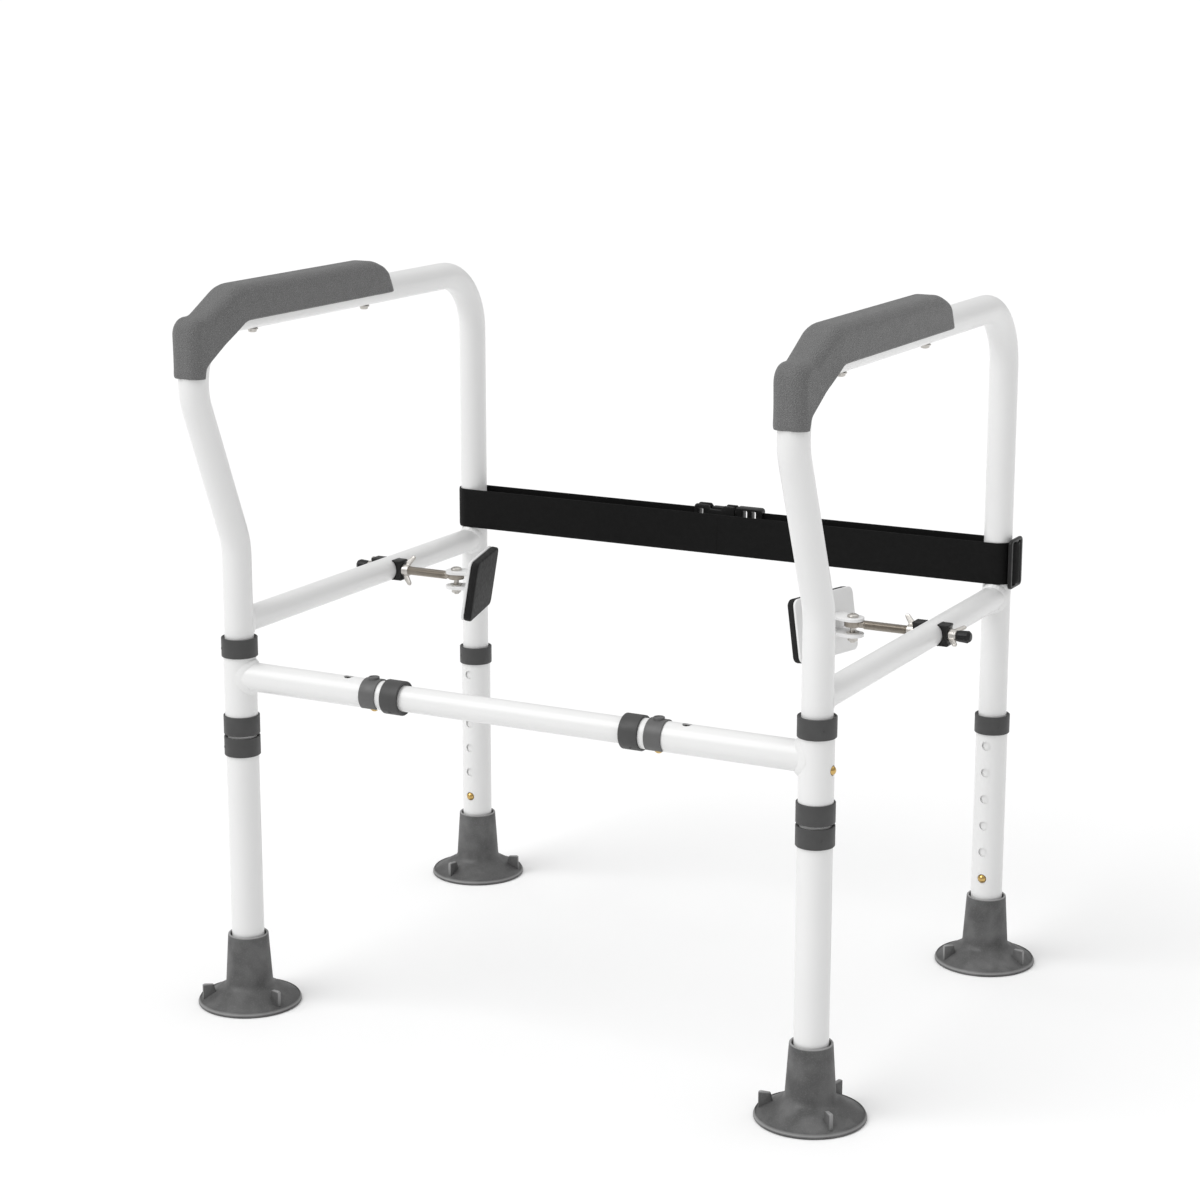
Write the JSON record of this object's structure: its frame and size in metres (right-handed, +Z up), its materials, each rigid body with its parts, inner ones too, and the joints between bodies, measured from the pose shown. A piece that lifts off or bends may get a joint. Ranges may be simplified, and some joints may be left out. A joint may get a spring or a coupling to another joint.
{
  "type": "toilet safety frame",
  "caption": "Free-standing toilet support frame with bent tube arms, foam armrests, height-adjustable legs, telescoping crossbar, bowl clamps and rear strap.",
  "frame": {"origin": "on the floor, in the middle of the frame's footprint", "axes": "+X to the viewer's right as seen from the front, +Y to the rear, +Z up"},
  "size_m": [0.639, 0.5194, 0.643],
  "materials": {
    "frame_coat": "satin white powder coat",
    "collar_plastic": "moulded dark grey",
    "clip_plastic": "moulded light grey",
    "foot_rubber": "moulded mid grey",
    "arm_foam": "grained grey integral-skin foam",
    "zinc_steel": "zinc plated",
    "button_steel": "nickel plated",
    "black_plastic": "moulded black",
    "pad_rubber": "moulded black",
    "webbing": "woven black"
  },
  "bodies": {
    "crossbar": {"crossbar_middle_bar": "frame_coat", "buckle_socket": "black_plastic", "buckle_plug": "black_plastic"},
    "right_frame": {"right_arm_tube": "frame_coat", "right_side_rail": "frame_coat", "right_arm_pad": "arm_foam", "right_pad_screws": "zinc_steel", "right_t_sleeve": "frame_coat", "right_sleeve_collars": "collar_plastic", "right_crossbar_tube": "frame_coat", "right_crossbar_collar": "collar_plastic", "right_lock_clip": "clip_plastic", "right_rail_saddles": "black_plastic", "right_strap_half": "webbing", "strap_tri_glide": "black_plastic"},
    "right_front_leg": {"right_front_leg_tube": "frame_coat", "right_front_leg_collar": "collar_plastic", "right_front_foot": "foot_rubber"},
    "right_front_button_body": {"right_front_leg_button": "button_steel"},
    "right_rear_leg": {"right_rear_leg_tube": "frame_coat", "right_rear_leg_collar": "collar_plastic", "right_rear_foot": "foot_rubber"},
    "right_rear_button_body": {"right_rear_leg_button": "button_steel"},
    "right_sleeve_button_body": {"right_sleeve_button": "button_steel"},
    "right_crossbar_button_body": {"right_crossbar_button": "button_steel"},
    "right_rod": {"right_clamp_rod": "zinc_steel", "right_rod_cap": "black_plastic"},
    "right_clamp": {"right_clamp_plate": "frame_coat", "right_clamp_rubber": "pad_rubber", "right_pivot_bolt": "zinc_steel"},
    "right_inner_nut": {"right_inner_wing_nut": "zinc_steel"},
    "right_outer_nut": {"right_outer_wing_nut": "zinc_steel"},
    "left_frame": {"left_arm_tube": "frame_coat", "left_side_rail": "frame_coat", "left_arm_pad": "arm_foam", "left_pad_screws": "zinc_steel", "left_t_sleeve": "frame_coat", "left_sleeve_collars": "collar_plastic", "left_crossbar_tube": "frame_coat", "left_crossbar_collar": "collar_plastic", "left_lock_clip": "clip_plastic", "left_rail_saddles": "black_plastic", "left_strap_half": "webbing"},
    "left_front_leg": {"left_front_leg_tube": "frame_coat", "left_front_leg_collar": "collar_plastic", "left_front_foot": "foot_rubber"},
    "left_front_button_body": {"left_front_leg_button": "button_steel"},
    "left_rear_leg": {"left_rear_leg_tube": "frame_coat", "left_rear_leg_collar": "collar_plastic", "left_rear_foot": "foot_rubber"},
    "left_rear_button_body": {"left_rear_leg_button": "button_steel"},
    "left_sleeve_button_body": {"left_sleeve_button": "button_steel"},
    "left_crossbar_button_body": {"left_crossbar_button": "button_steel"},
    "left_rod": {"left_clamp_rod": "zinc_steel", "left_rod_cap": "black_plastic"},
    "left_clamp": {"left_clamp_plate": "frame_coat", "left_clamp_rubber": "pad_rubber", "left_pivot_bolt": "zinc_steel"},
    "left_inner_nut": {"left_inner_wing_nut": "zinc_steel"},
    "left_outer_nut": {"left_outer_wing_nut": "zinc_steel"}
  },
  "joints": [
    {"name": "right_width_slide", "type": "slide", "parent": "crossbar", "child": "right_frame", "axis": [-1, 0, 0], "range_m": [0, 0.0254], "deforming": ["right_strap_half"]},
    {"name": "right_front_leg_slide", "type": "slide", "parent": "right_frame", "child": "right_front_leg", "axis": [0, 0, -1], "range_m": [0, 0.127]},
    {"name": "right_front_leg_button_press", "type": "slide", "parent": "right_frame", "child": "right_front_button_body", "axis": [0, -1, 0], "range_m": [0, 0.004], "stiffness_N_per_m": 1500, "springref_m": -0.002, "deforming": ["right_front_leg_button"]},
    {"name": "right_rear_leg_slide", "type": "slide", "parent": "right_frame", "child": "right_rear_leg", "axis": [0, 0, -1], "range_m": [0, 0.127]},
    {"name": "right_rear_leg_button_press", "type": "slide", "parent": "right_frame", "child": "right_rear_button_body", "axis": [0, 1, 0], "range_m": [0, 0.004], "stiffness_N_per_m": 1500, "springref_m": -0.002, "deforming": ["right_rear_leg_button"]},
    {"name": "right_sleeve_button_press", "type": "slide", "parent": "right_frame", "child": "right_sleeve_button_body", "axis": [-1, 0, 0], "range_m": [0, 0.004], "stiffness_N_per_m": 1500, "springref_m": -0.002, "deforming": ["right_sleeve_button"]},
    {"name": "right_crossbar_button_press", "type": "slide", "parent": "crossbar", "child": "right_crossbar_button_body", "axis": [0, 0, 1], "range_m": [0, 0.004], "stiffness_N_per_m": 1500, "springref_m": -0.002, "deforming": ["right_crossbar_button"]},
    {"name": "right_rod_feed", "type": "slide", "parent": "right_frame", "child": "right_rod", "axis": [1, 0, 0], "range_m": [0, 0.0275]},
    {"name": "right_inner_nut_turn", "type": "hinge", "parent": "right_frame", "child": "right_inner_nut", "pos_m": [0.2735, 0.0548, 0.3486], "axis": [1, 0, 0], "range_deg": [-7930, 0]},
    {"name": "right_outer_nut_turn", "type": "hinge", "parent": "right_frame", "child": "right_outer_nut", "pos_m": [0.2735, 0.0548, 0.3486], "axis": [1, 0, 0], "range_deg": [-7930, 0]},
    {"name": "right_clamp_swivel", "type": "hinge", "parent": "right_rod", "child": "right_clamp", "pos_m": [0.2, 0.0548, 0.3486], "axis": [0, 0, -1], "range_deg": [-50, 30]},
    {"name": "left_width_slide", "type": "slide", "parent": "crossbar", "child": "left_frame", "axis": [1, 0, 0], "range_m": [0, 0.0254], "deforming": ["left_strap_half"]},
    {"name": "left_front_leg_slide", "type": "slide", "parent": "left_frame", "child": "left_front_leg", "axis": [0, 0, -1], "range_m": [0, 0.127]},
    {"name": "left_front_leg_button_press", "type": "slide", "parent": "left_frame", "child": "left_front_button_body", "axis": [0, -1, 0], "range_m": [0, 0.004], "stiffness_N_per_m": 1500, "springref_m": -0.002, "deforming": ["left_front_leg_button"]},
    {"name": "left_rear_leg_slide", "type": "slide", "parent": "left_frame", "child": "left_rear_leg", "axis": [0, 0, -1], "range_m": [0, 0.127]},
    {"name": "left_rear_leg_button_press", "type": "slide", "parent": "left_frame", "child": "left_rear_button_body", "axis": [0, 1, 0], "range_m": [0, 0.004], "stiffness_N_per_m": 1500, "springref_m": -0.002, "deforming": ["left_rear_leg_button"]},
    {"name": "left_sleeve_button_press", "type": "slide", "parent": "left_frame", "child": "left_sleeve_button_body", "axis": [1, 0, 0], "range_m": [0, 0.004], "stiffness_N_per_m": 1500, "springref_m": -0.002, "deforming": ["left_sleeve_button"]},
    {"name": "left_crossbar_button_press", "type": "slide", "parent": "crossbar", "child": "left_crossbar_button_body", "axis": [0, 0, 1], "range_m": [0, 0.004], "stiffness_N_per_m": 1500, "springref_m": -0.002, "deforming": ["left_crossbar_button"]},
    {"name": "left_rod_feed", "type": "slide", "parent": "left_frame", "child": "left_rod", "axis": [-1, 0, 0], "range_m": [0, 0.0275]},
    {"name": "left_inner_nut_turn", "type": "hinge", "parent": "left_frame", "child": "left_inner_nut", "pos_m": [-0.2735, 0.0548, 0.3486], "axis": [-1, 0, 0], "range_deg": [-7930, 0]},
    {"name": "left_outer_nut_turn", "type": "hinge", "parent": "left_frame", "child": "left_outer_nut", "pos_m": [-0.2735, 0.0548, 0.3486], "axis": [-1, 0, 0], "range_deg": [-7930, 0]},
    {"name": "left_clamp_swivel", "type": "hinge", "parent": "left_rod", "child": "left_clamp", "pos_m": [-0.2, 0.0548, 0.3486], "axis": [0, 0, 1], "range_deg": [-50, 30]}
  ],
  "couplings": [
    {"joint": "right_inner_nut_turn", "follows": "right_rod_feed", "rad_per_m": -5026.5},
    {"joint": "right_outer_nut_turn", "follows": "right_rod_feed", "rad_per_m": -5026.5},
    {"joint": "left_inner_nut_turn", "follows": "left_rod_feed", "rad_per_m": -5026.5},
    {"joint": "left_outer_nut_turn", "follows": "left_rod_feed", "rad_per_m": -5026.5}
  ]
}
